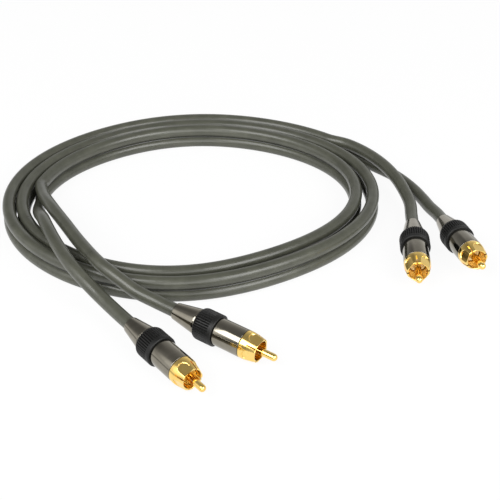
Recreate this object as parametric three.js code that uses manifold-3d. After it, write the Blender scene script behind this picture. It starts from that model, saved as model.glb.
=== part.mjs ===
// Stereo phono cable: two coaxial leads in one twin jacket, wound in a loose flat spiral,
// split into two legs at each end, with a plug on each of the four legs.
// Millimetres, +Z up. The cable lies on the plane z = 0, and the origin is on that plane,
// under the middle of the four plugs.
import * as THREE from 'three';
import { mergeVertices } from 'three/addons/utils/BufferGeometryUtils.js';
import Module from 'manifold-3d';

const wasm = await Module();
wasm.setup();

// Clearance between pieces that touch
const GAP = 0.3;

// Twin jacket: two round halves joined by a thin web
const CORE_DIAMETER = 6.2;
const CORE_SPACING = 6.5;
const WEB_THICKNESS = 2.2;
const CORE_ARC_STEPS = 6;
const LEG_SIDES = 8;
const LEG_STEP = 14;
const SPLIT_STRAIGHT = 4;
const SPLIT_GAP = 0.4;

// Spiral: turns are counted clockwise from the left-hand side, seen from above
const COIL_CENTRE = [-58.7, 83.7];
const COIL_RADIUS = 70.8;
const COIL_WAVES = [[-1.2, 2.9], [6.0, -2.6], [-0.9, 0.6], [1.1, -0.1]];
const TURN_PITCH = 6.62;
const LOOSE_PITCH = 2.6;
const LOOSE_SIDE = THREE.MathUtils.degToRad(225);
const COIL_START = 0.028;
const STEPS_PER_TURN = 25;
const COIL_STEPS = 59;

// Centre line of each leg, from the back of its plug to the split
const LEG_1_POINTS = [
  [-78.04, -24.14, 8.04], [-84.93, -15.58, 8.48], [-92.9, -6.5, 10.3], [-99.3, 0, 13], [-107.7, 10.1, 16.2],
  [-115.7, 24.8, 17.2], [-122, 39.2, 17], [-126.1, 50.6, 15.3], [-129.8, 62, 10.9], [-132.7, 74.4, 5.8],
  [-133.6, 85.4, 3.3],
];
const LEG_2_POINTS = [
  [-59.44, -14.96, 8.69], [-68.56, -8.85, 9.42], [-77.3, -4.1, 11.3], [-83.6, 0.3, 13.6], [-94.1, 9.3, 16.6],
  [-104.9, 26, 16.8], [-114.9, 44.6, 16.4], [-123.5, 61.6, 15.2], [-130.7, 80, 11.5],
];
const LEG_3_POINTS = [
  [51.26, 58.86, 6.67], [51.88, 68.83, 6.28], [52.4, 79.4, 6.6], [51.1, 88.8, 7.3], [48, 100.8, 8.5],
  [42.5, 113.9, 9.4], [34.5, 126.7, 9.7], [24.8, 137.2, 9.6],
];
const LEG_4_POINTS = [
  [67.2, 63.89, 5.5], [65.42, 72.64, 4.37], [62.7, 81, 3.5], [60.4, 89.1, 3.2], [56.5, 99.7, 3.15],
  [49, 113.4, 3.15], [38.5, 124.9, 3.15], [26.5, 137.2, 3.15],
];

// Each leg's half of the jacket (0 is the lower one), the end of the spiral it comes from, and the
// degrees its plug is rolled about its own axis
const LEGS = [
  { layer: 0, end: 'start', roll: 22, points: LEG_1_POINTS },
  { layer: 1, end: 'start', roll: 4, points: LEG_2_POINTS },
  { layer: 1, end: 'finish', roll: -35, points: LEG_3_POINTS },
  { layer: 0, end: 'finish', roll: -16, points: LEG_4_POINTS },
];

// Tail sleeve, from its back face at 0 towards the tip
const TAIL_LENGTH = 12.6;
const TAIL_BACK_DIAMETER = 7.8;
const TAIL_FRONT_DIAMETER = 11.6;
const TAIL_RIM = 0.6;
const TAIL_LIP = 0.9;
const THREAD_LENGTH = 12.5;

// Grip ring
const RING_LENGTH = 9.6;
const RING_DIAMETER = 14.3;
const RING_FLANGE = 1.9;
const RIB_DEPTH = 0.45;
const RIB_TOP = 0.45;
const RIB_FOOT = 0.72;
const RING_CHAMFER = 0.3;

// Barrel
const BARREL_LENGTH = 12.9;
const BARREL_DIAMETER = 12.4;
const BARREL_WALL = 0.8;
const BARREL_CHAMFER = 0.25;

// Outer contact: collar, tapered nose with four petals, threaded body and solder tab
const COLLAR_LENGTH = 1.4;
const NOSE_LENGTH = 6.2;
const NOSE_CURVE = 1.35;
const NOSE_SHARES = [0, 0.3, 0.65, 1];
const MOUTH_DIAMETER = 10.3;
const MOUTH_BORE = 8.6;
const MOUTH_DEPTH = 8.9;
const MOUTH_CHAMFER = 0.2;
const PETALS = 4;
const SLOT_WIDTH = 0.6;
const SLOT_LENGTH = 4.4;
const ARCH_WIDTH = 4.8;
const ARCH_LENGTH = 5.5;
const ARCH_FLOOR = 4.62;
const ARCH_TILT = THREE.MathUtils.degToRad(-10.5);
const BODY_LENGTH = 6.4;
const BODY_BORE = 6;
const TAB_WIDTH = THREE.MathUtils.degToRad(70);
const TAB_LENGTH = 5;
const TAB_THICKNESS = 0.8;
const CUT_BEYOND = 1;

// Insulator
const FLANGE_DIAMETER = 8;
const FLANGE_THICKNESS = 1;
const INSULATOR_LENGTH = 5.6;

// Centre pin with its solder cup
const PIN_DIAMETER = 3.2;
const PIN_REACH = 8.1;
const PIN_NOSE = 1.6;
const PIN_NOSE_DEGREES = [15, 35, 60, 90];
const SHANK_DIAMETER = 2.4;
const CUP_DIAMETER = 2.6;
const CUP_BORE = 1.6;
const CUP_DEPTH = 2.6;
const CUP_LENGTH = 4.4;

// Collet that grips the jacket, and the lead's stripped end with its layers stepped back
const COLLET_THICKNESS = 0.6;
const COLLET_LENGTH = 7;
const COLLET_SPLIT = THREE.MathUtils.degToRad(22);
const COLLET_START = 7.5;
const JACKET_END = 15;
const BRAID_DIAMETER = 5.2;
const BRAID_LENGTH = 3.2;
const DIELECTRIC_DIAMETER = 3;
const WIRE_DIAMETER = 1;

const VISIBLE_SIDES = 24;
const HIDDEN_SIDES = 12;
const RIB_COUNT = VISIBLE_SIDES;

// Stations along a plug, measured from the back face of the tail sleeve
const RING_BACK = TAIL_LENGTH + GAP;
const RING_FRONT = RING_BACK + RING_LENGTH;
const BARREL_BACK = RING_FRONT + GAP;
const BARREL_FRONT = BARREL_BACK + BARREL_LENGTH;
const COLLAR_BACK = BARREL_FRONT + GAP;
const NOSE_BACK = COLLAR_BACK + COLLAR_LENGTH;
const MOUTH = NOSE_BACK + NOSE_LENGTH;
const MOUTH_FLOOR = MOUTH - MOUTH_DEPTH;
const BODY_BACK = COLLAR_BACK - BODY_LENGTH;
const FLANGE_BACK = MOUTH_FLOOR + GAP;
const FLANGE_FRONT = FLANGE_BACK + FLANGE_THICKNESS;
const PIN_SHOULDER = FLANGE_FRONT + GAP;
const INSULATOR_BACK = FLANGE_BACK - INSULATOR_LENGTH;
const CUP_FRONT = INSULATOR_BACK - GAP;
const CUP_BACK = CUP_FRONT - CUP_LENGTH;
const TIP = MOUTH + PIN_REACH;
const STRIPPED = JACKET_END + GAP;
const DIELECTRIC_LENGTH = CUP_BACK - GAP - STRIPPED;

// Radii that follow from the piece each one fits
const CORE_RADIUS = CORE_DIAMETER / 2;
const CABLE_BORE_RADIUS = CORE_RADIUS + GAP;
const COLLET_RADIUS = CABLE_BORE_RADIUS + COLLET_THICKNESS;
const TAIL_BORE_RADIUS = COLLET_RADIUS + GAP;
const BARREL_BORE_RADIUS = BARREL_DIAMETER / 2 - BARREL_WALL;
const THREAD_RADIUS = BARREL_BORE_RADIUS - GAP;
const TAB_OUTER_RADIUS = TAIL_BORE_RADIUS - GAP;
const BRAID_BORE = DIELECTRIC_DIAMETER + 2 * GAP;
const DIELECTRIC_BORE = WIRE_DIAMETER + 2 * GAP;

const PVC = new THREE.MeshStandardMaterial({ color: 0x5c5d54, roughness: 0.45, metalness: 0 });
const GUNMETAL = new THREE.MeshStandardMaterial({ color: 0x6c6862, roughness: 0.18, metalness: 1 });
const RING_BLACK = new THREE.MeshStandardMaterial({ color: 0x1d1d1d, roughness: 0.55, metalness: 0 });
const GOLD = new THREE.MeshStandardMaterial({ color: 0xe3b95a, roughness: 0.15, metalness: 1 });
const PTFE = new THREE.MeshStandardMaterial({ color: 0xe9e4d6, roughness: 0.5, metalness: 0 });
const BRASS = new THREE.MeshStandardMaterial({ color: 0xb89b5e, roughness: 0.35, metalness: 1 });
const COPPER = new THREE.MeshStandardMaterial({ color: 0xb87149, roughness: 0.35, metalness: 1 });

function onCircle(radius, angle) {
  return new THREE.Vector2(radius * Math.cos(angle), radius * Math.sin(angle));
}

// A turned piece about the plug's axis, from [radius, station] pairs that run up the outside
function turned(profile, sides) {
  const points = profile.map(([radius, station]) => new THREE.Vector2(radius, station));
  return new THREE.LatheGeometry(points, sides).rotateX(Math.PI / 2);
}

// A turned piece with a hole through it, whose profile closes on itself
function turnedTube(profile, sides) {
  return turned([...profile, profile[0]], sides);
}

function manifoldOf(geometry) {
  const bare = geometry.clone();
  bare.deleteAttribute('normal');
  bare.deleteAttribute('uv');
  const merged = mergeVertices(bare, 1e-4);
  const corners = merged.index.array;
  const triVerts = [];
  for (let i = 0; i < corners.length; i += 3) {
    const [a, b, c] = corners.slice(i, i + 3);
    if (a !== b && b !== c && c !== a) triVerts.push(a, b, c);
  }
  const vertProperties = new Float32Array(merged.attributes.position.array);
  const mesh = new wasm.Mesh({ numProp: 3, vertProperties, triVerts: new Uint32Array(triVerts) });
  return new wasm.Manifold(mesh);
}

function geometryOf(manifold) {
  const mesh = manifold.getMesh();
  const geometry = new THREE.BufferGeometry();
  geometry.setAttribute('position', new THREE.BufferAttribute(mesh.vertProperties, 3));
  geometry.setIndex(new THREE.BufferAttribute(mesh.triVerts, 1));
  geometry.computeVertexNormals();
  return geometry;
}

// An arc-shaped bar along the plug's axis
function arcBar(innerRadius, outerRadius, angle, start, length) {
  const shape = new THREE.Shape();
  shape.absarc(0, 0, outerRadius, -angle / 2, angle / 2, false);
  shape.absarc(0, 0, innerRadius, angle / 2, -angle / 2, true);
  const bar = new THREE.ExtrudeGeometry(shape, { depth: length, bevelEnabled: false, curveSegments: 4 });
  return bar.translate(0, 0, start);
}

function coilRadius(turn) {
  const angle = 2 * Math.PI * turn;
  const waves = COIL_WAVES.reduce((sum, [cosine, sine], i) => (
    sum + cosine * Math.cos((i + 1) * angle) + sine * Math.sin((i + 1) * angle)), 0);
  const looseness = (0.5 + 0.5 * Math.cos(angle - LOOSE_SIDE)) ** 2;
  return COIL_RADIUS + waves + turn * (TURN_PITCH + LOOSE_PITCH * looseness);
}

function coilPoint(turn, height) {
  const bearing = Math.PI - 2 * Math.PI * turn;
  const radius = coilRadius(turn);
  return new THREE.Vector3(
    COIL_CENTRE[0] + radius * Math.cos(bearing),
    COIL_CENTRE[1] + radius * Math.sin(bearing),
    height,
  );
}

// The spiral's centre line, sampled at equal angles so that neighbouring turns stay parallel
class CoilCurve extends THREE.Curve {
  getPoint(t) {
    const turn = COIL_START + (t * COIL_STEPS) / STEPS_PER_TURN;
    return coilPoint(turn, CORE_RADIUS + CORE_SPACING / 2);
  }

  getPointAt(u) {
    return this.getPoint(u);
  }

  getTangentAt(u) {
    return this.getTangent(u);
  }
}

// Section of the twin jacket, with one round half at each end of its x axis
function twinSection() {
  const webAngle = Math.asin(WEB_THICKNESS / 2 / CORE_RADIUS);
  const shape = new THREE.Shape();
  for (const side of [1, -1]) {
    for (let i = 0; i <= CORE_ARC_STEPS; i += 1) {
      const angle = (i / CORE_ARC_STEPS - 0.5) * 2 * (Math.PI - webAngle);
      const x = side * (CORE_SPACING / 2 + CORE_RADIUS * Math.cos(angle));
      const y = side * CORE_RADIUS * Math.sin(angle);
      if (side === 1 && i === 0) shape.moveTo(x, y);
      else shape.lineTo(x, y);
    }
  }
  return shape;
}

function roundSection(radius, sides) {
  const corners = [];
  for (let i = 0; i < sides; i += 1) corners.push(onCircle(radius, (2 * Math.PI * i) / sides));
  return new THREE.Shape(corners);
}

function makeTwinJacket() {
  const path = new CoilCurve();
  return new THREE.ExtrudeGeometry(twinSection(), { steps: COIL_STEPS, extrudePath: path });
}

// Part of a curve, between two lengths along it
class Stretch extends THREE.Curve {
  constructor(curve, from, to) {
    super();
    this.curve = curve;
    this.from = from;
    this.to = to;
  }

  getPoint(t) {
    const reach = THREE.MathUtils.lerp(this.from, this.to, t);
    return this.curve.getPointAt(reach / this.curve.getLength());
  }
}

// A leg runs from its plug to the split, where its last few millimetres are in line with the spiral
function makeLeg(leg) {
  const height = CORE_RADIUS + leg.layer * CORE_SPACING;
  const coilEnd = leg.end === 'start' ? 0 : 1;
  const onwards = new CoilCurve().getTangent(coilEnd).multiplyScalar(leg.end === 'start' ? 1 : -1);
  const split = coilPoint(COIL_START + (coilEnd * COIL_STEPS) / STEPS_PER_TURN, height);
  const points = leg.points.map((point) => new THREE.Vector3(...point));
  for (const reach of [-SPLIT_STRAIGHT, 0, SPLIT_STRAIGHT]) {
    points.push(split.clone().addScaledVector(onwards, reach));
  }
  const curve = new THREE.CatmullRomCurve3(points, false, 'centripetal');
  const perSpan = 40;
  curve.arcLengthDivisions = perSpan * (points.length - 1);
  const length = curve.getLengths()[perSpan * (points.length - 2)];
  const path = new Stretch(curve, GAP, length - SPLIT_GAP);
  const steps = Math.round(length / LEG_STEP);
  return new THREE.ExtrudeGeometry(roundSection(CORE_RADIUS, LEG_SIDES), { steps, extrudePath: path });
}

function makeTailSleeve() {
  const back = TAIL_BACK_DIAMETER / 2;
  const front = TAIL_FRONT_DIAMETER / 2;
  const profile = [
    [CABLE_BORE_RADIUS, 0],
    [back - TAIL_RIM / 2, 0],
    [back, TAIL_RIM],
    [front, TAIL_LENGTH - TAIL_LIP],
    [front, TAIL_LENGTH],
    [THREAD_RADIUS, TAIL_LENGTH],
    [THREAD_RADIUS, TAIL_LENGTH + THREAD_LENGTH],
    [TAIL_BORE_RADIUS, TAIL_LENGTH + THREAD_LENGTH],
    [TAIL_BORE_RADIUS, COLLET_START - GAP],
    [CABLE_BORE_RADIUS, COLLET_START - GAP],
  ];
  return turnedTube(profile, VISIBLE_SIDES);
}

// Ribbed band with a plain flange at its front
function makeGripRing() {
  const outer = RING_DIAMETER / 2;
  const bore = THREAD_RADIUS + GAP;
  const ribPitch = (2 * Math.PI) / RIB_COUNT;
  const outline = [];
  const hole = [];
  for (let i = 0; i < RIB_COUNT; i += 1) {
    hole.push(onCircle(bore, i * ribPitch));
    outline.push(onCircle(outer, i * ribPitch));
    outline.push(onCircle(outer, (i + RIB_TOP) * ribPitch));
    outline.push(onCircle(outer - RIB_DEPTH, (i + RIB_FOOT) * ribPitch));
  }
  const ribbed = new THREE.Shape(outline);
  ribbed.holes.push(new THREE.Path(hole));
  const bandLength = RING_LENGTH - RING_FLANGE / 2;
  const band = new THREE.ExtrudeGeometry(ribbed, { depth: bandLength, bevelEnabled: false });
  band.translate(0, 0, RING_BACK);
  const flange = turnedTube([
    [bore, RING_FRONT - RING_FLANGE],
    [outer, RING_FRONT - RING_FLANGE],
    [outer, RING_FRONT - RING_CHAMFER],
    [outer - RING_CHAMFER, RING_FRONT],
    [bore, RING_FRONT],
  ], VISIBLE_SIDES);
  return geometryOf(manifoldOf(band).add(manifoldOf(flange)));
}

function makeBarrel() {
  const outer = BARREL_DIAMETER / 2;
  return turnedTube([
    [BARREL_BORE_RADIUS, BARREL_BACK],
    [outer - BARREL_CHAMFER, BARREL_BACK],
    [outer, BARREL_BACK + BARREL_CHAMFER],
    [outer, BARREL_FRONT],
    [BARREL_BORE_RADIUS, BARREL_FRONT],
  ], VISIBLE_SIDES);
}

// Outline of one milled arch, seen along the radius it is cut down
function archCutter() {
  const half = ARCH_WIDTH / 2;
  const shape = new THREE.Shape();
  shape.moveTo(-half, CUT_BEYOND);
  shape.lineTo(-half, half - ARCH_LENGTH);
  shape.absarc(0, half - ARCH_LENGTH, half, Math.PI, 2 * Math.PI, false);
  shape.lineTo(half, CUT_BEYOND);
  const depth = BARREL_DIAMETER;
  const cutter = new THREE.ExtrudeGeometry(shape, { depth, bevelEnabled: false, curveSegments: 3 });
  cutter.rotateX(ARCH_TILT);
  cutter.translate(0, 0, ARCH_FLOOR);
  cutter.rotateX(Math.PI / 2);
  cutter.rotateZ(Math.PI);
  return cutter.translate(0, 0, MOUTH);
}

// The nose tapers to the mouth in an even curve, and its petals are parted by slots
function makeOuterContact() {
  const collar = BARREL_DIAMETER / 2;
  const mouth = MOUTH_DIAMETER / 2;
  const bore = MOUTH_BORE / 2;
  const nose = NOSE_SHARES.map((share) => [
    THREE.MathUtils.lerp(collar, mouth, share ** NOSE_CURVE),
    NOSE_BACK + NOSE_LENGTH * share,
  ]);
  const body = turnedTube([
    [BODY_BORE / 2, BODY_BACK],
    [THREAD_RADIUS, BODY_BACK],
    [THREAD_RADIUS, COLLAR_BACK],
    [collar, COLLAR_BACK],
    ...nose,
    [bore + MOUTH_CHAMFER, MOUTH],
    [bore, MOUTH - MOUTH_CHAMFER],
    [bore, MOUTH_FLOOR],
    [BODY_BORE / 2, MOUTH_FLOOR],
  ], VISIBLE_SIDES);
  const tab = arcBar(
    TAB_OUTER_RADIUS - TAB_THICKNESS, TAB_OUTER_RADIUS, TAB_WIDTH, BODY_BACK - TAB_LENGTH, TAB_LENGTH + GAP);
  let contact = manifoldOf(body).add(manifoldOf(tab));
  for (let i = 0; i < PETALS; i += 1) {
    const arch = archCutter().rotateZ((2 * Math.PI * i) / PETALS);
    const slot = new THREE.BoxGeometry(BARREL_DIAMETER, SLOT_WIDTH, SLOT_LENGTH + CUT_BEYOND);
    slot.translate(BARREL_DIAMETER / 2 + bore - CUT_BEYOND, 0, MOUTH - (SLOT_LENGTH - CUT_BEYOND) / 2);
    slot.rotateZ((2 * Math.PI * (i + 0.5)) / PETALS);
    contact = contact.subtract(manifoldOf(arch)).subtract(manifoldOf(slot));
  }
  return geometryOf(contact);
}

function makeInsulator() {
  const bore = SHANK_DIAMETER / 2 + GAP;
  const body = BODY_BORE / 2 - GAP;
  return turnedTube([
    [bore, INSULATOR_BACK],
    [body, INSULATOR_BACK],
    [body, FLANGE_BACK],
    [FLANGE_DIAMETER / 2, FLANGE_BACK],
    [FLANGE_DIAMETER / 2, FLANGE_FRONT],
    [bore, FLANGE_FRONT],
  ], HIDDEN_SIDES);
}

function makePin() {
  const radius = PIN_DIAMETER / 2;
  const nose = PIN_NOSE_DEGREES.map((degrees) => {
    const angle = THREE.MathUtils.degToRad(degrees);
    return [radius * Math.cos(angle), TIP - PIN_NOSE * (1 - Math.sin(angle))];
  });
  return turned([
    [0, CUP_BACK + CUP_DEPTH],
    [CUP_BORE / 2, CUP_BACK + CUP_DEPTH],
    [CUP_BORE / 2, CUP_BACK],
    [CUP_DIAMETER / 2, CUP_BACK],
    [CUP_DIAMETER / 2, CUP_FRONT],
    [SHANK_DIAMETER / 2, CUP_FRONT],
    [SHANK_DIAMETER / 2, PIN_SHOULDER],
    [radius, PIN_SHOULDER],
    [radius, TIP - PIN_NOSE],
    ...nose,
  ], HIDDEN_SIDES);
}

function makeCollet() {
  return arcBar(CABLE_BORE_RADIUS, COLLET_RADIUS, 2 * Math.PI - COLLET_SPLIT, COLLET_START, COLLET_LENGTH);
}

function makeRod(diameter, start, finish) {
  const radius = diameter / 2;
  return turned([[0, start], [radius, start], [radius, finish], [0, finish]], HIDDEN_SIDES);
}

function makePipe(outerDiameter, innerDiameter, start, length) {
  const outer = outerDiameter / 2;
  const inner = innerDiameter / 2;
  const finish = start + length;
  return turnedTube([[inner, start], [outer, start], [outer, finish], [inner, finish]], HIDDEN_SIDES);
}

function named(name, geometry, material) {
  const mesh = new THREE.Mesh(geometry, material);
  mesh.name = name;
  return mesh;
}

const PLUG_PIECES = [
  ['tail_sleeve', makeTailSleeve(), GUNMETAL],
  ['grip_ring', makeGripRing(), RING_BLACK],
  ['barrel', makeBarrel(), GUNMETAL],
  ['outer_contact', makeOuterContact(), GOLD],
  ['insulator', makeInsulator(), PTFE],
  ['pin', makePin(), GOLD],
  ['collet', makeCollet(), BRASS],
  ['jacket_end', makeRod(CORE_DIAMETER, 0, JACKET_END), PVC],
  ['braid_end', makePipe(BRAID_DIAMETER, BRAID_BORE, STRIPPED, BRAID_LENGTH), COPPER],
  ['dielectric_end', makePipe(DIELECTRIC_DIAMETER, DIELECTRIC_BORE, STRIPPED, DIELECTRIC_LENGTH), PTFE],
  ['wire_end', makeRod(WIRE_DIAMETER, STRIPPED, CUP_BACK + CUP_DEPTH - GAP), COPPER],
];

// A plug continues the straight stretch at the end of its leg
function makePlug(leg, number) {
  const [back, behind] = leg.points.map((point) => new THREE.Vector3(...point));
  const forward = back.clone().sub(behind).normalize();
  const across = new THREE.Vector3().crossVectors(forward, new THREE.Vector3(0, 0, 1)).normalize();
  const upright = new THREE.Vector3().crossVectors(across, forward);
  const plug = new THREE.Group();
  const roll = new THREE.Matrix4().makeRotationZ(THREE.MathUtils.degToRad(leg.roll));
  for (const [name, geometry, material] of PLUG_PIECES) {
    plug.add(named(`${name}_${number}`, geometry, material));
  }
  const pose = new THREE.Matrix4().makeBasis(upright, across, forward).multiply(roll);
  plug.quaternion.setFromRotationMatrix(pose);
  plug.position.copy(back);
  return plug;
}

const cable = new THREE.Group();
cable.add(named('twin_jacket', makeTwinJacket(), PVC));
LEGS.forEach((leg, index) => {
  cable.add(named(`leg_${index + 1}`, makeLeg(leg), PVC));
  cable.add(makePlug(leg, index + 1));
});

export default cable;
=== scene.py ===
"""Stereo phono cable: a twin coaxial lead in a loose flat coil, with a plug on each of four legs."""
import math

import bpy
import numpy as np
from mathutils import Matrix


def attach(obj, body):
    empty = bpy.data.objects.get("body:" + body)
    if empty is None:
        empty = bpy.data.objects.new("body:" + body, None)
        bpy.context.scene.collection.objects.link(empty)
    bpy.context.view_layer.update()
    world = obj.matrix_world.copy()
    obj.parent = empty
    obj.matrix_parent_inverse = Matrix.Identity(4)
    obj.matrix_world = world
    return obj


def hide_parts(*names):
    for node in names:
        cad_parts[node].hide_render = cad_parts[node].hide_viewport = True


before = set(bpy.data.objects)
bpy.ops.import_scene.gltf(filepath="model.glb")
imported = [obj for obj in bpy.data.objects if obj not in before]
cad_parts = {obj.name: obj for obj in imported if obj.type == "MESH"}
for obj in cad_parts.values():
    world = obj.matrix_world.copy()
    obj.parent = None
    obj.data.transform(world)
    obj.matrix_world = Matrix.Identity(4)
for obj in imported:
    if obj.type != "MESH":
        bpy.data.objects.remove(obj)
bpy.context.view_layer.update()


MM = 0.001

# The camera of the photograph: its place, its tilt below the horizon and its lens
CAMERA_PLACE = (-27.7 * MM, -412.2 * MM, 298.0 * MM)
CAMERA_TILT = math.radians(33.0)
CAMERA_LENS = 82.08
SENSOR_WIDTH = 36.0
NEAREST_SEEN = 0.01

# Clearance between pieces that touch. All sizes from here to the finishes are in millimetres
GAP = 0.3

# Twin jacket: two round halves, one above the other, joined by a web
CORE_RADIUS = 3.1
CORE_SPACING = 6.5
WEB_THICKNESS = 2.2
WEB_HALF_HEIGHT = 1.0
WEB_FLARE = 1.0
WEB_ROWS = 9

# The coil's centre line: turns are counted clockwise from the left, seen from above
COIL_CENTRE = (-58.7, 83.7)
COIL_RADIUS = 70.8
COIL_WAVES = ((-1.2, 2.9), (6.0, -2.6), (-0.9, 0.6), (1.1, -0.1))
TURN_PITCH = 6.62
LOOSE_PITCH = 2.6
LOOSE_SIDE = math.radians(225.0)
COIL_START = 0.028
COIL_TURNS = 2.36
COIL_END = COIL_START + COIL_TURNS
LEAD_SAMPLES = 400
WEB_SAMPLES = 900

# Centre line of each leg, from the back of its plug to the split
LEG_POINTS = {
    1: ((-78.04, -24.14, 8.04), (-84.93, -15.58, 8.48), (-92.9, -6.5, 10.3), (-99.3, 0, 13),
        (-107.7, 10.1, 16.2), (-115.7, 24.8, 17.2), (-122, 39.2, 17), (-126.1, 50.6, 15.3),
        (-129.8, 62, 10.9), (-132.7, 74.4, 5.8), (-133.6, 85.4, 3.3)),
    2: ((-59.44, -14.96, 8.69), (-68.56, -8.85, 9.42), (-77.3, -4.1, 11.3), (-83.6, 0.3, 13.6),
        (-94.1, 9.3, 16.6), (-104.9, 26, 16.8), (-114.9, 44.6, 16.4), (-123.5, 61.6, 15.2),
        (-130.7, 80, 11.5)),
    3: ((51.26, 58.86, 6.67), (51.88, 68.83, 6.28), (52.4, 79.4, 6.6), (51.1, 88.8, 7.3),
        (48, 100.8, 8.5), (42.5, 113.9, 9.4), (34.5, 126.7, 9.7), (24.8, 137.2, 9.6)),
    4: ((67.2, 63.89, 5.5), (65.42, 72.64, 4.37), (62.7, 81, 3.5), (60.4, 89.1, 3.2),
        (56.5, 99.7, 3.15), (49, 113.4, 3.15), (38.5, 124.9, 3.15), (26.5, 137.2, 3.15)),
}
# Straight lead at each end of the coil, and how far a lead reaches into the tail of its plug
SPLIT_STRAIGHT = 4.0
TUCK = 1.4
LEAD_STEP = 2.0
LEAD_SIDES = 32

# Plugs: the degrees that each is rolled about its own axis
PLUG_ROLL = {1: 22.0, 2: 4.0, 3: -35.0, 4: -16.0}

# Tail sleeve, with the threaded tube that carries the grip ring and the barrel
TAIL_LENGTH = 12.6
TAIL_BACK_RADIUS = 3.9
TAIL_FRONT_RADIUS = 5.8
TAIL_RIM = 0.6
TAIL_RIM_DEPTH = 0.12
TAIL_LIP = 0.9
THREAD_LENGTH = 12.5
COLLET_START = 7.5
COLLET_THICKNESS = 0.6

# Grip ring. Its back slopes: each pair is how far it is below the full radius, and how far from the back
RING_LENGTH = 9.6
RING_RADIUS = 7.15
RING_SLOPE = ((0.65, 0.0), (0.43, 0.25), (0.15, 0.8), (0.03, 1.3))
RING_CHAMFER = 0.3
RING_FLANGE = 2.0
RIBS = 42
RIB_DEPTH = 0.45
RIB_END = 0.35
RIB_COLUMNS = 10

# Barrel
BARREL_LENGTH = 12.9
BARREL_RADIUS = 6.2
BARREL_WALL = 0.8

# Outer contact: a collar, a nose of four petals with a milled arch on each, and a body inside the barrel
COLLAR_LENGTH = 1.4
NOSE_LENGTH = 6.2
NOSE_CURVE = 1.35
MOUTH_RADIUS = 5.15
BORE_RADIUS = 4.3
MOUTH_DEPTH = 8.9
BODY_LENGTH = 6.4
BODY_BORE_RADIUS = 3.0
PETALS = 4
PETAL_COLUMNS = 72
PLAIN_ROWS = 16
SLOT_ROWS = 52
SLOT_HALF_WIDTH = 0.3
SLOT_LENGTH = 4.4
ARCH_HALF_WIDTH = 2.4
ARCH_LENGTH = 5.5
ARCH_FLOOR = 4.62
ARCH_SLOPE = math.tan(math.radians(10.5))
ARCH_EASE = 0.12

# Insulator, and the centre pin with its solder cup. The pin's turned surface closes round a hole along its
# axis, whose radius is AXIS_HOLE and which is too fine to see
FLANGE_RADIUS = 4.0
FLANGE_THICKNESS = 1.0
INSULATOR_LENGTH = 5.6
PIN_RADIUS = 1.6
PIN_REACH = 8.1
SHANK_RADIUS = 1.2
CUP_RADIUS = 1.3
CUP_BORE_RADIUS = 0.8
CUP_DEPTH = 2.6
CUP_LENGTH = 4.4
AXIS_HOLE = 0.02

# Stations along a plug, measured from the back face of the tail sleeve
TAIL_FRONT = TAIL_LENGTH
THREAD_FRONT = TAIL_FRONT + THREAD_LENGTH
RING_BACK = TAIL_FRONT + GAP
RING_FRONT = RING_BACK + RING_LENGTH
RIB_FRONT = RING_FRONT - RING_FLANGE
BARREL_BACK = RING_FRONT + GAP
BARREL_FRONT = BARREL_BACK + BARREL_LENGTH
COLLAR_BACK = BARREL_FRONT + GAP
NOSE_BACK = COLLAR_BACK + COLLAR_LENGTH
MOUTH = NOSE_BACK + NOSE_LENGTH
MOUTH_FLOOR = MOUTH - MOUTH_DEPTH
BODY_BACK = COLLAR_BACK - BODY_LENGTH
SLOT_BACK = MOUTH - SLOT_LENGTH
ARCH_BACK = MOUTH - ARCH_LENGTH
FLANGE_BACK = MOUTH_FLOOR + GAP
FLANGE_FRONT = FLANGE_BACK + FLANGE_THICKNESS
INSULATOR_BACK = FLANGE_BACK - INSULATOR_LENGTH
PIN_SHOULDER = FLANGE_FRONT + GAP
PIN_TIP = MOUTH + PIN_REACH
CUP_FRONT = INSULATOR_BACK - GAP
CUP_BACK = CUP_FRONT - CUP_LENGTH

# Radii that follow from the piece that each one fits
CABLE_BORE_RADIUS = CORE_RADIUS + GAP
TAIL_BORE_RADIUS = CABLE_BORE_RADIUS + COLLET_THICKNESS + GAP
BARREL_BORE_RADIUS = BARREL_RADIUS - BARREL_WALL
THREAD_RADIUS = BARREL_BORE_RADIUS - GAP


def add_camera():
    """The photograph's camera, level from side to side."""
    data = bpy.data.cameras.new("camera")
    data.lens = CAMERA_LENS
    data.sensor_width = SENSOR_WIDTH
    data.clip_start = NEAREST_SEEN
    camera = bpy.data.objects.new("camera", data)
    camera.location = CAMERA_PLACE
    camera.rotation_euler = (math.pi / 2 - CAMERA_TILT, 0.0, 0.0)
    bpy.context.scene.collection.objects.link(camera)
    bpy.context.scene.camera = camera


def unit(vector):
    """Each vector over its own length."""
    return vector / np.linalg.norm(vector, axis=-1, keepdims=True)


def make_piece(name, points, faces, corner_uv, sharp):
    """A smooth-shaded object from points in metres, with one pattern place for each face corner.

    Faces that come after the last pattern place keep the place (0, 0). An edge that turns by more than sharp
    degrees isn't smoothed.
    """
    mesh = bpy.data.meshes.new(name)
    mesh.from_pydata(points.tolist(), [], faces)
    layer = mesh.uv_layers.new(name="surface")
    values = np.zeros((len(mesh.loops), 2), np.float32)
    values[: len(corner_uv)] = corner_uv
    layer.data.foreach_set("uv", values.reshape(-1))
    mesh.shade_smooth()
    mesh.set_sharp_from_angle(angle=math.radians(sharp))
    piece = bpy.data.objects.new(name, mesh)
    bpy.context.scene.collection.objects.link(piece)
    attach(piece, "root")
    return piece


def grid_quads(count, sides, closed_path):
    """Quads between neighbouring rings of a grid, and between the last and the first on a closed path."""
    steps = count if closed_path else count - 1
    i, j = np.meshgrid(np.arange(steps), np.arange(sides), indexing="ij")
    far = (i + 1) % count
    across = (j + 1) % sides
    quads = np.stack([i * sides + j, i * sides + across, far * sides + across, far * sides + j], axis=-1)
    return quads.reshape(-1, 4), i, j


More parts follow.
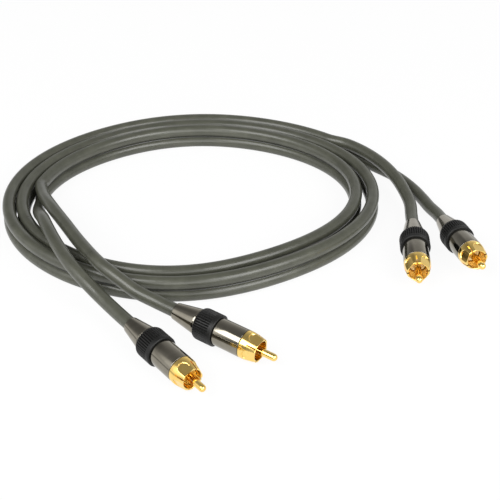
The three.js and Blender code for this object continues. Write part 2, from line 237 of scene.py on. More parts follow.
def piece_from_grid(name, rings, uv, closed_path=False, sharp=40.0):
    """A piece from a grid of points: rings[i, j] is point j of ring i, and each ring closes on itself.

    An open path gets a flat cap on each end ring. The uv has one column more than the rings, and on a closed
    path one row more.
    """
    count, sides = rings.shape[:2]
    quads, i, j = grid_quads(count, sides, closed_path)
    faces = quads.tolist()
    if not closed_path:
        faces.append(list(range(sides))[::-1])
        faces.append(list(range((count - 1) * sides, count * sides)))
    columns = sides + 1
    here, there = i * columns + j, (i + 1) * columns + j
    corner = np.stack([here, here + 1, there + 1, there], axis=-1)
    return make_piece(name, rings.reshape(-1, 3), faces, uv.reshape(-1, 2)[corner.reshape(-1)], sharp)


def coil_line(turns, height):
    """Points of the spiral.

    The radius is a circle plus four waves, and grows with the turns, most at the loose side.
    """
    angle = 2 * np.pi * turns
    loose = (0.5 + 0.5 * np.cos(angle - LOOSE_SIDE)) ** 2
    radius = COIL_RADIUS + turns * (TURN_PITCH + LOOSE_PITCH * loose)
    for order, (cosine, sine) in enumerate(COIL_WAVES, start=1):
        radius = radius + cosine * np.cos(order * angle) + sine * np.sin(order * angle)
    x = COIL_CENTRE[0] - radius * np.cos(angle)
    y = COIL_CENTRE[1] + radius * np.sin(angle)
    return np.stack([x, y, np.full_like(x, height)], axis=-1)


def through(points, per_span=24):
    """A smooth curve through the points: cubic spans whose timing follows the square root of their length."""
    p = np.asarray(points, float)
    p = np.vstack([2 * p[0] - p[1], p, 2 * p[-1] - p[-2]])
    t = np.concatenate([[0], np.cumsum(np.sqrt(np.linalg.norm(np.diff(p, axis=0), axis=1)))])
    u = np.linspace(0, 1, per_span, endpoint=False)[None, :, None]
    p0, p1, p2, p3 = (p[k:len(p) - 3 + k, None, :] for k in range(4))
    t0, t1, t2, t3 = (t[k:len(t) - 3 + k, None, None] for k in range(4))
    s = t1 + (t2 - t1) * u
    a1 = (t1 - s) / (t1 - t0) * p0 + (s - t0) / (t1 - t0) * p1
    a2 = (t2 - s) / (t2 - t1) * p1 + (s - t1) / (t2 - t1) * p2
    a3 = (t3 - s) / (t3 - t2) * p2 + (s - t2) / (t3 - t2) * p3
    b1 = (t2 - s) / (t2 - t0) * a1 + (s - t0) / (t2 - t0) * a2
    b2 = (t3 - s) / (t3 - t1) * a2 + (s - t1) / (t3 - t1) * a3
    curve = (t2 - s) / (t2 - t1) * b1 + (s - t1) / (t2 - t1) * b2
    return np.vstack([curve.reshape(-1, 3), p[-2]])


def even(points, step):
    """The same line with points at equal distances along it, and those distances."""
    reach = np.concatenate([[0], np.cumsum(np.linalg.norm(np.diff(points, axis=0), axis=1))])
    wanted = np.linspace(0, reach[-1], max(2, int(round(reach[-1] / step)) + 1))
    return np.stack([np.interp(wanted, reach, points[:, k]) for k in range(3)], axis=-1), wanted


def lead_line(first, last, height):
    """One lead's centre line, from just inside the first plug, round the coil, to just inside the last."""
    coil = coil_line(np.linspace(COIL_START, COIL_END, LEAD_SAMPLES), height)
    out = unit(coil[0] - coil[1])
    back = unit(coil[-1] - coil[-2])
    start = through([*LEG_POINTS[first], coil[0] + SPLIT_STRAIGHT * out, coil[0]])
    finish = through([coil[-1], coil[-1] + SPLIT_STRAIGHT * back, *LEG_POINTS[last][::-1]])
    ends = []
    for number in (first, last):
        back_face, behind = (np.array(p, float) for p in LEG_POINTS[number][:2])
        ends.append(back_face + TUCK * unit(back_face - behind))
    return np.vstack([ends[0], start[:-1], coil[:-1], finish, ends[1]])


def line_frames(line):
    """The sideways and upward directions across a line that stays near level."""
    tangent = unit(np.gradient(line, axis=0))
    side = unit(np.cross(tangent, (0.0, 0.0, 1.0)))
    return side, np.cross(side, tangent)


def round_lead(name, line):
    """A round tube: at each point of the line, a circle square to it, begun on the under side."""
    points, reach = even(line, LEAD_STEP)
    side, up = line_frames(points)
    angle = np.linspace(0, 2 * np.pi, LEAD_SIDES, endpoint=False)[None, :, None]
    rings = points[:, None] + CORE_RADIUS * (np.sin(angle) * side[:, None] - np.cos(angle) * up[:, None])
    around = np.linspace(0, 2 * np.pi * CORE_RADIUS, LEAD_SIDES + 1)
    uv = np.stack(np.broadcast_arrays(reach[:, None], around[None]), axis=-1)
    return piece_from_grid(name, rings[:, ::-1] * MM, uv[:, ::-1]), points


def jacket_web(name):
    """The web between the halves: a strip along the coil with hollow sides, narrowest at half height.

    Its half width is half the thickness plus a flare that grows with the square of the way up or down.
    """
    middle = CORE_RADIUS + CORE_SPACING / 2
    points, reach = even(coil_line(np.linspace(COIL_START, COIL_END, WEB_SAMPLES), middle), LEAD_STEP)
    side, up = line_frames(points)
    share = np.linspace(-1.0, 1.0, WEB_ROWS)
    width = WEB_THICKNESS / 2 + WEB_FLARE * share ** 2
    across = np.concatenate([width, -width[::-1]])
    along = WEB_HALF_HEIGHT * np.concatenate([share, share[::-1]])
    rings = points[:, None] + across[None, :, None] * side[:, None] + along[None, :, None] * up[:, None]
    around = np.linspace(0, 4 * WEB_HALF_HEIGHT + WEB_THICKNESS, len(across) + 1)
    uv = np.stack(np.broadcast_arrays(reach[:, None], around[None]), axis=-1)
    return piece_from_grid(name, rings[:, ::-1] * MM, uv[:, ::-1])


def plug_placement(number):
    """Where a plug's own axes go: its forward axis runs on from its leg, and it is rolled about that axis."""
    back_face, behind = (np.array(p, float) for p in LEG_POINTS[number][:2])
    forward = unit(back_face - behind)
    across = unit(np.cross(forward, (0.0, 0.0, 1.0)))
    upright = np.cross(across, forward)
    roll = math.radians(PLUG_ROLL[number])
    x_axis = math.cos(roll) * upright + math.sin(roll) * across
    return back_face, np.stack([x_axis, np.cross(forward, x_axis), forward])


def placed(number, r, s, angle):
    """Points at radius r, station s and angle round a plug's axis, in metres, where that plug lies."""
    origin, axes = plug_placement(number)
    local = np.stack([r * np.cos(angle), r * np.sin(angle), s], axis=-1)
    return (origin + local @ axes) * MM


def rounded(corners, ease, steps):
    """A closed outline with each corner eased: a curve that starts and ends at the ease's distance from it.

    The curve is a parabola that touches both sides, and takes less than half of a short one.
    """
    c = np.asarray(corners, float)
    before, after = np.roll(c, 1, axis=0) - c, np.roll(c, -1, axis=0) - c
    reach_in, reach_out = (np.linalg.norm(v, axis=1, keepdims=True) for v in (before, after))
    size = np.minimum(ease, 0.45 * np.minimum(reach_in, reach_out))
    start, end = c + before / reach_in * size, c + after / reach_out * size
    t = np.linspace(0, 1, steps)[None, :, None]
    eased = (1 - t) ** 2 * start[:, None] + 2 * t * (1 - t) * c[:, None] + t ** 2 * end[:, None]
    return eased.reshape(-1, 2)


def turned(name, number, corners, ease, steps=5, sides=96, shape=None):
    """A turned piece: a closed outline of (radius, station) corners carried round the plug's axis.

    shape changes the outline's radii at each angle, for ribs.
    """
    outline = rounded(corners, ease, steps)
    angle = np.linspace(0, 2 * np.pi, sides, endpoint=False)[None, :]
    r = np.broadcast_to(outline[:, :1], (len(outline), sides))
    s = np.broadcast_to(outline[:, 1:], (len(outline), sides))
    if shape is not None:
        r = shape(r, s, angle)
    span = np.linalg.norm(np.diff(outline, axis=0, append=outline[:1]), axis=1)
    reach = np.concatenate([[0], np.cumsum(span)])
    around = np.linspace(0, 2 * np.pi * BARREL_RADIUS, sides + 1)
    uv = np.stack(np.broadcast_arrays(around[None], reach[:, None]), axis=-1)
    return piece_from_grid(name, placed(number, r, s, angle), uv, closed_path=True, sharp=35.0)


def make_tail(number):
    """A tapered sleeve with a rounded back rim, a short straight front and a threaded tube inside it."""
    seat = COLLET_START - GAP
    outside = [(TAIL_BACK_RADIUS - TAIL_RIM_DEPTH, 0.0), (TAIL_BACK_RADIUS, TAIL_RIM),
               (TAIL_FRONT_RADIUS, TAIL_FRONT - TAIL_LIP), (TAIL_FRONT_RADIUS, TAIL_FRONT)]
    tube = [(THREAD_RADIUS, TAIL_FRONT), (THREAD_RADIUS, THREAD_FRONT), (TAIL_BORE_RADIUS, THREAD_FRONT)]
    corners = [(CABLE_BORE_RADIUS, 0.0), *outside, *tube, (TAIL_BORE_RADIUS, seat), (CABLE_BORE_RADIUS, seat)]
    return turned(f"tail_sleeve_shell_{number}", number, corners, ease=0.22)


def make_barrel(number):
    """A plain tube with eased ends."""
    corners = [(BARREL_BORE_RADIUS, BARREL_BACK), (BARREL_RADIUS, BARREL_BACK),
               (BARREL_RADIUS, BARREL_FRONT), (BARREL_BORE_RADIUS, BARREL_FRONT)]
    return turned(f"barrel_shell_{number}", number, corners, ease=0.18)


def ribbed(r, s, angle):
    """The grip ring's radii: a wave with flat tops dips between the ribs, and ends at the plain rim."""
    wave = 0.5 * np.clip(0.7 - 1.7 * np.cos(RIBS * angle), -1, 1) - 0.5
    fade = np.clip((RIB_FRONT - s) / RIB_END, 0, 1)
    return np.where(r > BARREL_RADIUS, r + RIB_DEPTH * wave * fade, r)


def make_ring(number):
    """A ring with a sloping back edge and fine ribs, and a plain rim in front.

    Its rows are close together where the ribs end.
    """
    slope = [(RING_RADIUS - depth, RING_BACK + reach) for depth, reach in RING_SLOPE]
    ends = np.linspace(RIB_FRONT - 0.5, RIB_FRONT + 0.1, 5)
    outer = [(RING_RADIUS, s) for s in (RING_BACK + 2.0, RING_BACK + 4.5, *ends)]
    rim = [(RING_RADIUS, RING_FRONT - RING_CHAMFER), (RING_RADIUS - RING_CHAMFER, RING_FRONT)]
    corners = [(BARREL_BORE_RADIUS, RING_BACK), *slope, *outer, *rim, (BARREL_BORE_RADIUS, RING_FRONT)]
    return turned(f"grip_ring_ribbed_{number}", number, corners, ease=0.1, steps=3,
                  sides=RIBS * RIB_COLUMNS, shape=ribbed)


def make_pin(number):
    """A solid pin: a solder cup behind, a thinner shank through the insulator and a bullet nose."""
    cup_floor = CUP_BACK + CUP_DEPTH
    cup = [(AXIS_HOLE, cup_floor), (CUP_BORE_RADIUS, cup_floor), (CUP_BORE_RADIUS, CUP_BACK),
           (CUP_RADIUS, CUP_BACK), (CUP_RADIUS, CUP_FRONT)]
    shank = [(SHANK_RADIUS, CUP_FRONT), (SHANK_RADIUS, PIN_SHOULDER)]
    angle = np.radians(np.linspace(6, 88, 9))
    nose = np.stack([PIN_RADIUS * np.cos(angle), PIN_TIP - PIN_RADIUS * (1 - np.sin(angle))], axis=-1)
    corners = [*cup, *shank, (PIN_RADIUS, PIN_SHOULDER), (PIN_RADIUS, PIN_TIP - PIN_RADIUS), *nose.tolist(),
               (AXIS_HOLE, PIN_TIP)]
    return turned(f"pin_bullet_{number}", number, corners, ease=0.1, steps=4, sides=48)


def make_insulator(number):
    """A bush with a flange that sits on the mouth's floor."""
    bore, body = SHANK_RADIUS + GAP, BODY_BORE_RADIUS - GAP
    corners = [(bore, INSULATOR_BACK), (body, INSULATOR_BACK), (body, FLANGE_BACK),
               (FLANGE_RADIUS, FLANGE_BACK), (FLANGE_RADIUS, FLANGE_FRONT), (bore, FLANGE_FRONT)]
    return turned(f"insulator_bush_{number}", number, corners, ease=0.1, steps=4, sides=64)


def nose_radius(station):
    """The taper: the radius falls from the barrel's to the mouth's by the way along, raised to a power."""
    share = np.clip((station - NOSE_BACK) / (MOUTH - NOSE_BACK), 0, 1)
    return BARREL_RADIUS + (MOUTH_RADIUS - BARREL_RADIUS) * share ** NOSE_CURVE


def on_nose(stations):
    """Outline corners on the taper."""
    return [(float(nose_radius(s)), s) for s in stations]


def arch_cut(r, s, angle):
    """The turned radius, less the milled arches.

    Each arch is a sloping flat whose outline is a slot with a round back end. The cut eases in at its edge.
    """
    quarter = np.pi / 2
    nearest = (angle + quarter / 2) % quarter - quarter / 2
    sideways = r * np.sin(nearest)
    centre = ARCH_BACK + ARCH_HALF_WIDTH
    from_centre = np.hypot(sideways, np.minimum(s - centre, 0))
    inside = ARCH_HALF_WIDTH - from_centre
    floor = (ARCH_FLOOR + ARCH_SLOPE * (MOUTH - s)) / np.cos(nearest)
    depth = np.clip(inside / ARCH_EASE + 0.5, 0, 1)
    depth = depth * depth * (3 - 2 * depth)
    return r + depth * (np.minimum(floor, r) - r)


def contact_outline():
    """The outer contact's outline in four runs: behind the slots, outside, inside, and the mouth's floor.

    Small steps ease the outline's edges.
    """
    plain_rows = np.linspace(NOSE_BACK + 0.2, SLOT_BACK - 0.1, PLAIN_ROWS)
    slot_rows = np.linspace(SLOT_BACK, MOUTH - 0.14, SLOT_ROWS)
    body = [(BODY_BORE_RADIUS, BODY_BACK), (THREAD_RADIUS - 0.05, BODY_BACK),
            (THREAD_RADIUS, BODY_BACK + 0.1), (THREAD_RADIUS, COLLAR_BACK - 0.02),
            (THREAD_RADIUS + 0.06, COLLAR_BACK)]
    collar = [(BARREL_RADIUS - 0.12, COLLAR_BACK), (BARREL_RADIUS - 0.03, COLLAR_BACK + 0.03),
              (BARREL_RADIUS, COLLAR_BACK + 0.12), (BARREL_RADIUS, COLLAR_BACK + 0.3),
              (BARREL_RADIUS, NOSE_BACK - 0.1)]
    outer_rim = [(MOUTH_RADIUS - 0.05, MOUTH - 0.04), (MOUTH_RADIUS - 0.12, MOUTH)]
    inner_rim = [(BORE_RADIUS + 0.24, MOUTH), (BORE_RADIUS + 0.1, MOUTH - 0.05),
                 (BORE_RADIUS + 0.03, MOUTH - 0.13)]
    inner_rows = slot_rows[::-1] - np.linspace(0.12, 0, SLOT_ROWS)
    floor = [(BORE_RADIUS, MOUTH_FLOOR + 0.1), (BORE_RADIUS - 0.07, MOUTH_FLOOR),
             (BODY_BORE_RADIUS + 0.05, MOUTH_FLOOR), (BODY_BORE_RADIUS, MOUTH_FLOOR - 0.05)]
    behind = [*body, *collar, *on_nose(plain_rows)]
    outside = [*on_nose(slot_rows), *outer_rim]
    inside = [*inner_rim, *((BORE_RADIUS, s) for s in inner_rows)]
    return behind, outside, inside, floor


def slot_walls(first, last, total):
    """Faces of the slots, from the outline rows first to last: two side walls and a root for each slot.

    A wall pairs the rows from both ends inwards, and an odd row in the middle closes it with a triangle.
    """
    faces = []
    half = (last - first) // 2
    for petal in range(PETALS):
        right = petal * PETAL_COLUMNS + PETAL_COLUMNS - 1
        left = (right + 1) % total
        for k in range(half - 1):
            a, b = (first + k) * total, (first + k + 1) * total
            c, d = (last - 1 - k) * total, (last - 2 - k) * total
            faces.append([a + right, b + right, d + right, c + right])
            faces.append([a + left, c + left, d + left, b + left])
        if (last - first) % 2:
            a, tip, c = (first + half - 1) * total, (first + half) * total, (first + half + 1) * total
            faces.append([a + right, tip + right, c + right])
            faces.append([a + left, c + left, tip + left])
        a, c = first * total, (last - 1) * total
        faces.append([a + right, c + right, c + left, a + left])
    return faces


def make_contact(number):
    """The outer contact in one closed surface: outline stations by angles, with the slots left open.

    A slot's walls are flat and parallel, so a wall's angle is the slot's plus or minus the arcsine of half
    its width over the radius. Each side wall joins the outer rows to the inner rows, and a root closes the
    back.
    """
    behind, outside, inside, floor = contact_outline()
    outline = np.array([*behind, *outside, *inside, *floor])
    first = len(behind)
    middle = first + len(outside)
    last = middle + len(inside)
    r, s = outline[:, :1], outline[:, 1:]
    edge = np.pi / PETALS - np.arcsin(SLOT_HALF_WIDTH / r)
    share = np.linspace(-1, 1, PETAL_COLUMNS)[None]
    centres = 2 * np.pi / PETALS * np.arange(PETALS)
    angle = np.concatenate([centre + edge * share for centre in centres], axis=1)
    r, s = np.broadcast_arrays(r, s, angle)[:2]
    shown = (s[:, :1] > COLLAR_BACK) & (np.arange(len(outline)) < middle)[:, None]
    r = np.where(shown, arch_cut(r, s, angle), r)
    total = angle.shape[1]
    quads, i, j = grid_quads(len(outline), total, closed_path=True)
    row, column = i.reshape(-1), j.reshape(-1)
    at_slot = column % PETAL_COLUMNS == PETAL_COLUMNS - 1
    cut = at_slot & (row >= first) & (row < last - 1)
    faces = quads[~cut].tolist() + slot_walls(first, last, total)
    reach = np.concatenate([[0], np.cumsum(np.linalg.norm(np.diff(outline, axis=0), axis=1))])
    uv = np.stack(np.broadcast_arrays(BARREL_RADIUS * angle, reach[:, None]), axis=-1).reshape(-1, 2)
    corner_uv = uv[np.concatenate([np.array(face) for face in faces])]
    points = placed(number, r, s, angle).reshape(-1, 3)
    return make_piece(f"outer_contact_petals_{number}", points, faces, corner_uv, sharp=32.0)


# What makes each dressed piece
MAKERS = {"tail_sleeve": make_tail, "grip_ring": make_ring, "barrel": make_barrel,
          "outer_contact": make_contact, "insulator": make_insulator, "pin": make_pin}

add_camera()

lower_lead, lower_path = round_lead("lower_lead", lead_line(1, 4, CORE_RADIUS))
upper_lead, upper_path = round_lead("upper_lead", lead_line(2, 3, CORE_RADIUS + CORE_SPACING))
web = jacket_web("jacket_web")
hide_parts("leg_1", "leg_4", "twin_jacket")
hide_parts("leg_2", "leg_3", "twin_jacket")
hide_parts("twin_jacket")

plugs = {}
for number in PLUG_ROLL:
    plugs[number] = {}
    for stem, maker in MAKERS.items():
        piece = maker(number)
        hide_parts(f"{stem}_{number}")
        plugs[number][stem] = piece


def linear(hex_colour):
    """A linear colour from an sRGB hex string."""
    values = [int(hex_colour[k:k + 2], 16) / 255 for k in (1, 3, 5)]
    return [v / 12.92 if v <= 0.04045 else ((v + 0.055) / 1.055) ** 2.4 for v in values] + [1.0]


def grey(level):
    """A linear grey."""
    return [level, level, level, 1.0]


def tones(places, hex_colours):
    """Stops of a colour ramp: each place with its colour."""
    return [(place, linear(colour)) for place, colour in zip(places, hex_colours)]


def greys(steps):
    """Stops of a colour ramp, from pairs of a place and a grey level."""
    return [(place, grey(level)) for place, level in steps]


def per_metre(size):
    """A pattern's scale from the size in millimetres of one of its spots."""
    return 1 / (size * MM)


def node(tree, kind, settings=None, stops=(), **inputs):
    """Adds a node. Settings go on it, stops on its colour ramp, and inputs to its sockets.

    An input is named for its socket, with _ for a space, or i and the socket's number.
    """
    made = tree.nodes.new(kind)
    for key, value in (settings or {}).items():
        setattr(made, key, value)
    for k, (place, colour) in enumerate(stops):
        elements = made.color_ramp.elements
        element = elements[k] if k < len(elements) else elements.new(place)
        element.position = place
        element.color = colour
    for key, value in inputs.items():
        numbered = key[0] == "i" and key[1:].isdigit()
        socket = made.inputs[int(key[1:]) if numbered else key.replace("_", " ")]
        if isinstance(value, bpy.types.NodeSocket):
            tree.links.new(value, socket)
        else:
            socket.default_value = value
    return made


def new_material(name):
    """An empty material and its node tree."""
    material = bpy.data.materials.new(name)
    material.use_nodes = True
    tree = material.node_tree
    tree.nodes.clear()
    return material, tree


def finish_material(tree, shader):
    """Puts the shader on the surface."""
    tree.links.new(shader.outputs[0], tree.nodes.new("ShaderNodeOutputMaterial").inputs["Surface"])


def extruded_pvc(name, colours):
    """Soft PVC, extruded: satin, mottled in patches of 8 mm, with faint draw lines 0.3 mm apart along it.

    The skin's pebbles are drawn at 0.7 mm, coarser than the real ones, which would be too fine to show.
    """
    material, tree = new_material(name)
    place = node(tree, "ShaderNodeTexCoord")
    mottle = node(tree, "ShaderNodeTexNoise", Vector=place.outputs["Object"], Scale=per_metre(8.0),
                  Detail=5.0, Roughness=0.6)
    colour = node(tree, "ShaderNodeValToRGB", Fac=mottle.outputs["Fac"],
                  stops=tones((0.3, 0.55, 0.75), colours))
    lines_place = node(tree, "ShaderNodeMapping", Vector=place.outputs["UV"], Scale=(0.02, 2.2, 1.0))
    lines = node(tree, "ShaderNodeTexNoise", Vector=lines_place.outputs["Vector"], Scale=1.6, Detail=3.0)
    skin = node(tree, "ShaderNodeTexNoise", Vector=place.outputs["Object"], Scale=per_metre(0.7), Detail=2.0)
    rough = node(tree, "ShaderNodeMapRange", Value=mottle.outputs["Fac"], To_Min=0.25, To_Max=0.33)
    bump_lines = node(tree, "ShaderNodeBump", Strength=0.12, Distance=0.1 * MM, Height=lines.outputs["Fac"])
    bump = node(tree, "ShaderNodeBump", Strength=0.25, Distance=0.06 * MM, Height=skin.outputs["Fac"],
                Normal=bump_lines.outputs["Normal"])
    shader = node(tree, "ShaderNodeBsdfPrincipled", Base_Color=colour.outputs["Color"],
                  Roughness=rough.outputs["Result"], IOR=1.53, Normal=bump.outputs["Normal"])
    finish_material(tree, shader)
    return material


def turned_metal(name, colours, roughness, depth, lines_from="UV", line_scale=(0.01, 9.0, 1.0)):
    """Turned metal: a mirror-like skin, hazed in patches of 4 mm, with faint turning lines round it.

    On a piece's own map, which is in millimetres, the lines are 0.1 mm apart.
    """
    material, tree = new_material(name)
    place = node(tree, "ShaderNodeTexCoord")
    haze = node(tree, "ShaderNodeTexNoise", Vector=place.outputs["Object"], Scale=per_metre(4.0), Detail=4.0,
                Roughness=0.55)
    colour = node(tree, "ShaderNodeValToRGB", Fac=haze.outputs["Fac"],
                  stops=tones((0.3, 0.5, 0.72), colours))
    lines_place = node(tree, "ShaderNodeMapping", Vector=place.outputs[lines_from], Scale=line_scale)
    lines = node(tree, "ShaderNodeTexNoise", Vector=lines_place.outputs["Vector"], Scale=1.0, Detail=2.0)
    rough = node(tree, "ShaderNodeMapRange", Value=haze.outputs["Fac"], To_Min=0.8 * roughness,
                 To_Max=1.25 * roughness)
    bump = node(tree, "ShaderNodeBump", Strength=depth, Distance=0.03 * MM, Height=lines.outputs["Fac"])
    shader = node(tree, "ShaderNodeBsdfPrincipled", Base_Color=colour.outputs["Color"], Metallic=1.0,
                  Roughness=rough.outputs["Result"], Normal=bump.outputs["Normal"])
    finish_material(tree, shader)
    return material


def plain_plastic(name, dark, light, roughness, grain_size, grain_depth, gloss=0.5):
    """Moulded, turned or extruded plastic: nearly even colour, with a fine grain, sized in millimetres."""
    material, tree = new_material(name)
    place = node(tree, "ShaderNodeTexCoord")
    grain = node(tree, "ShaderNodeTexNoise", Vector=place.outputs["Object"], Scale=per_metre(grain_size),
                 Detail=3.0)
    colour = node(tree, "ShaderNodeValToRGB", Fac=grain.outputs["Fac"],
                  stops=tones((0.3, 0.7), (dark, light)))
    rough = node(tree, "ShaderNodeMapRange", Value=grain.outputs["Fac"], To_Min=roughness[0],
                 To_Max=roughness[1])
    bump = node(tree, "ShaderNodeBump", Strength=0.4, Distance=grain_depth * MM, Height=grain.outputs["Fac"])
    shader = node(tree, "ShaderNodeBsdfPrincipled", Base_Color=colour.outputs["Color"],
                  Roughness=rough.outputs["Result"], Specular_IOR_Level=gloss, Normal=bump.outputs["Normal"])
    finish_material(tree, shader)
    return material


# Inner metal pieces are the frame's own solids and have no map, so their grain of 0.7 mm runs all ways
ALL_WAYS = {"lines_from": "Object", "line_scale": (1500.0, 1500.0, 1500.0)}

# Olive grey and satin, with a soft sheen along the upper side of each turn
pvc = extruded_pvc("soft_pvc_extruded", ("#3e3f36", "#46473d", "#4e4f44"))
# The web is the same compound, drawn darker as painted shade, because it lies deep between the halves and
# gets little light
painted_shade_web = extruded_pvc("soft_pvc_web_painted_shade", ("#24251f", "#292a24", "#2e2f28"))
# Black nickel over turned brass: polished, so it shows the room dark and clear
black_nickel = turned_metal("black_nickel_polished", ("#878276", "#8d887c", "#938e82"), roughness=0.12,
                            depth=0.12)
# Gold flash over nickel: bright and pale, and deep orange where it mirrors itself inside the mouth
gold = turned_metal("gold_plate_polished", ("#fbd47a", "#ffda80", "#ffdf8a"), roughness=0.15, depth=0.1)
# Bare and dull, straight from the lathe
brass = turned_metal("brass_turned", ("#b1925a", "#b99b62", "#c2a56c"), roughness=0.28, depth=0.3,
                     **ALL_WAYS)
# Drawn wire, red and a little dull
copper = turned_metal("copper_drawn_bare", ("#b06a45", "#b8714b", "#c07a54"), roughness=0.32, depth=0.3,
                      **ALL_WAYS)
# Moulded in a finely grained die: dull and even, which keeps the ribs dark
grip_black = plain_plastic("abs_moulded_black", "#0c0c0b", "#121211", roughness=(0.4, 0.54),
                           grain_size=1.1, grain_depth=0.05, gloss=0.34)
# Turned from a rod: waxy and ivory white, so it takes on the gold round it
ptfe = plain_plastic("ptfe_turned", "#ecd9a8", "#f1e0b4", roughness=(0.4, 0.55), grain_size=2.0,
                     grain_depth=0.03)
# Extruded round the wire: milky and nearly white
polyethylene = plain_plastic("polyethylene_extruded", "#e4e2dc", "#ecebe6", roughness=(0.35, 0.5),
                             grain_size=2.0, grain_depth=0.03)

FINISHES = {"tail_sleeve": black_nickel, "grip_ring": grip_black, "barrel": black_nickel,
            "outer_contact": gold, "insulator": ptfe, "pin": gold, "collet": brass, "jacket_end": pvc,
            "braid_end": copper, "dielectric_end": polyethylene, "wire_end": copper, "twin_jacket": pvc,
            "leg": pvc}


def paint(piece, material):
    """Gives a piece one finish and no other."""
    piece.data.materials.clear()
    piece.data.materials.append(material)


for lead, finish in ((lower_lead, pvc), (upper_lead, pvc), (web, painted_shade_web)):
    paint(lead, finish)
for made in plugs.values():
    for stem, piece in made.items():
        paint(piece, FINISHES[stem])
for name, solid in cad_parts.items():
    stem = name if name == "twin_jacket" else name.rsplit("_", 1)[0]
    paint(solid, FINISHES[stem])


# The sheet under the cable, in metres, and how much of an even white it shows
FLOOR_HALF = 3.0
FLOOR_GLOW = 0.92

# How much painted dark reflection a mirror ray meets on the floor, by the slope at which it comes down
PAINTED_DARK_REFLECTION = ((0.0, 0.0), (0.04, 0.05), (0.08, 0.6), (0.15, 0.55), (0.24, 0.0))

# The room's brightness by height: 0 is the horizon and 1 is overhead
ROOM_STEPS = ((0.0, 1.0), (0.1, 0.95), (0.22, 0.78), (0.42, 0.58), (0.64, 0.42), (0.8, 0.32), (0.93, 0.25))

# Patches of the room: azimuth and elevation of the middle, inner and outer angle, and strength.
# Light spills round the left softbox, and a white card stands low in front
BRIGHT_PATCHES = (((-162.0, 30.0), 12.0, 26.0, 0.75), ((-86.0, 10.0), 16.0, 36.0, 2.4))
# The room is dark at the back left, and low at the front left
DARK_PATCHES = (((133.0, 22.0), 20.0, 34.0, 0.58), ((-138.0, 8.0), 14.0, 22.0, 0.65))


def floor_material():
    """White paper.

    Camera, mirror and see-through rays see mostly an even white, and the rest keeps the shadow. A mirror ray
    that comes in low sees a near-black grey instead, set by the slope at which it comes down: a painted dark
    reflection, which lays a dark band low in the plated metal.
    """
    material, tree = new_material("white_paper_floor")
    paper = node(tree, "ShaderNodeBsdfDiffuse", Color=grey(0.86))
    glow = node(tree, "ShaderNodeEmission", Color=grey(1.0), Strength=1.0)
    rays = node(tree, "ShaderNodeLightPath")
    seen = node(tree, "ShaderNodeMath", {"operation": "MAXIMUM"}, i0=rays.outputs["Is Camera Ray"],
                i1=rays.outputs["Is Glossy Ray"])
    seen = node(tree, "ShaderNodeMath", {"operation": "MAXIMUM"}, i0=seen.outputs[0],
                i1=rays.outputs["Is Transmission Ray"])
    share = node(tree, "ShaderNodeMath", {"operation": "MULTIPLY"}, i0=seen.outputs[0], i1=FLOOR_GLOW)
    mixed = node(tree, "ShaderNodeMixShader", i0=share.outputs[0], i1=paper.outputs[0], i2=glow.outputs[0])
    way = node(tree, "ShaderNodeNewGeometry")
    slope = node(tree, "ShaderNodeSeparateXYZ", Vector=way.outputs["Incoming"])
    # Painted dark reflection: mirror rays that come in low see the floor near black
    rim = node(tree, "ShaderNodeValToRGB", Fac=slope.outputs["Z"], stops=greys(PAINTED_DARK_REFLECTION))
    low = node(tree, "ShaderNodeMath", {"operation": "MULTIPLY"}, i0=rim.outputs["Color"],
               i1=rays.outputs["Is Glossy Ray"])
    # The near-black grey of the painted dark reflection
    painted_dark = node(tree, "ShaderNodeBsdfDiffuse", Color=grey(0.02))
    both = node(tree, "ShaderNodeMixShader", i0=low.outputs[0], i1=mixed.outputs[0], i2=painted_dark.outputs[0])
    finish_material(tree, both)
    return material


def add_floor():
    """A flat square sheet under the cable."""
    mesh = bpy.data.meshes.new("floor")
    corners = [(-FLOOR_HALF, -FLOOR_HALF, 0), (FLOOR_HALF, -FLOOR_HALF, 0), (FLOOR_HALF, FLOOR_HALF, 0),
               (-FLOOR_HALF, FLOOR_HALF, 0)]
    mesh.from_pydata(corners, [], [[0, 1, 2, 3]])
    sheet = bpy.data.objects.new("floor", mesh)
    bpy.context.scene.collection.objects.link(sheet)
    sheet.data.materials.append(floor_material())


def direction(azimuth, elevation):
    """A unit vector from degrees: azimuth 90 is away from the camera and 180 is to its left."""
    a, e = math.radians(azimuth), math.radians(elevation)
    return (math.cos(e) * math.cos(a), math.cos(e) * math.sin(a), math.sin(e))


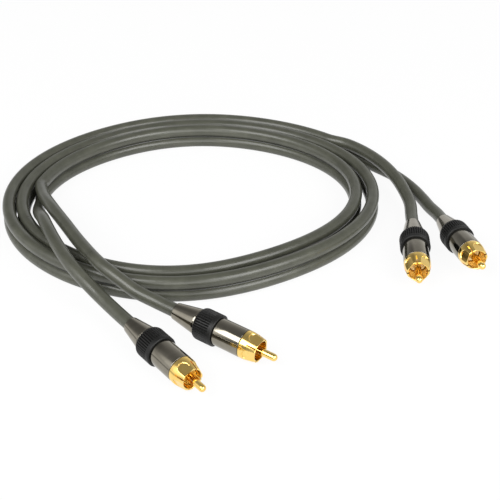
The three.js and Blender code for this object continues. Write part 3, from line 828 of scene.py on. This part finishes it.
def add_light(name, azimuth, elevation, distance, size, power):
    """A square soft light that faces the middle of the cable from that direction."""
    data = bpy.data.lights.new(name, "AREA")
    data.shape = "SQUARE"
    data.size = size
    data.energy = power
    lamp = bpy.data.objects.new(name, data)
    lamp.location = [distance * part for part in direction(azimuth, elevation)]
    lamp.rotation_euler = (math.pi / 2 - math.radians(elevation), 0.0, math.radians(azimuth) + math.pi / 2)
    bpy.context.scene.collection.objects.link(lamp)


def patch(tree, way, middle, inner, outer, strength):
    """A round patch of the room: full out to the inner angle from its middle, and gone at the outer angle."""
    nearness = node(tree, "ShaderNodeVectorMath", {"operation": "DOT_PRODUCT"}, i0=way, i1=direction(*middle))
    faded = node(tree, "ShaderNodeMapRange", {"interpolation_type": "SMOOTHSTEP"},
                 Value=nearness.outputs["Value"], From_Min=math.cos(math.radians(outer)),
                 From_Max=math.cos(math.radians(inner)), To_Min=0.0, To_Max=strength)
    return faded.outputs["Result"]


def room_light():
    """The room: white near the horizon and darker overhead, with brighter and darker patches."""
    world = bpy.data.worlds.new("studio")
    bpy.context.scene.world = world
    world.use_nodes = True
    tree = world.node_tree
    tree.nodes.clear()
    way = node(tree, "ShaderNodeTexCoord").outputs["Generated"]
    parts = node(tree, "ShaderNodeSeparateXYZ", Vector=way)
    height = node(tree, "ShaderNodeValToRGB", Fac=parts.outputs["Z"], stops=greys(ROOM_STEPS))
    light = height.outputs["Color"]
    for values in BRIGHT_PATCHES:
        glow = patch(tree, way, *values)
        light = node(tree, "ShaderNodeMath", {"operation": "ADD"}, i0=light, i1=glow).outputs[0]
    for values in DARK_PATCHES:
        dark = patch(tree, way, *values)
        left = node(tree, "ShaderNodeMath", {"operation": "SUBTRACT"}, i0=1.0, i1=dark).outputs[0]
        light = node(tree, "ShaderNodeMath", {"operation": "MULTIPLY"}, i0=light, i1=left).outputs[0]
    sky = node(tree, "ShaderNodeBackground", Color=grey(1.0), Strength=light)
    tree.links.new(sky.outputs[0], tree.nodes.new("ShaderNodeOutputWorld").inputs["Surface"])


add_floor()
add_light("front_left_softbox", azimuth=-141.0, elevation=46.0, distance=1.2, size=0.7, power=8.5)
add_light("front_right_softbox", azimuth=-44.0, elevation=38.0, distance=1.2, size=0.7, power=9.5)
room_light()
bpy.context.scene.view_settings.view_transform = "Standard"
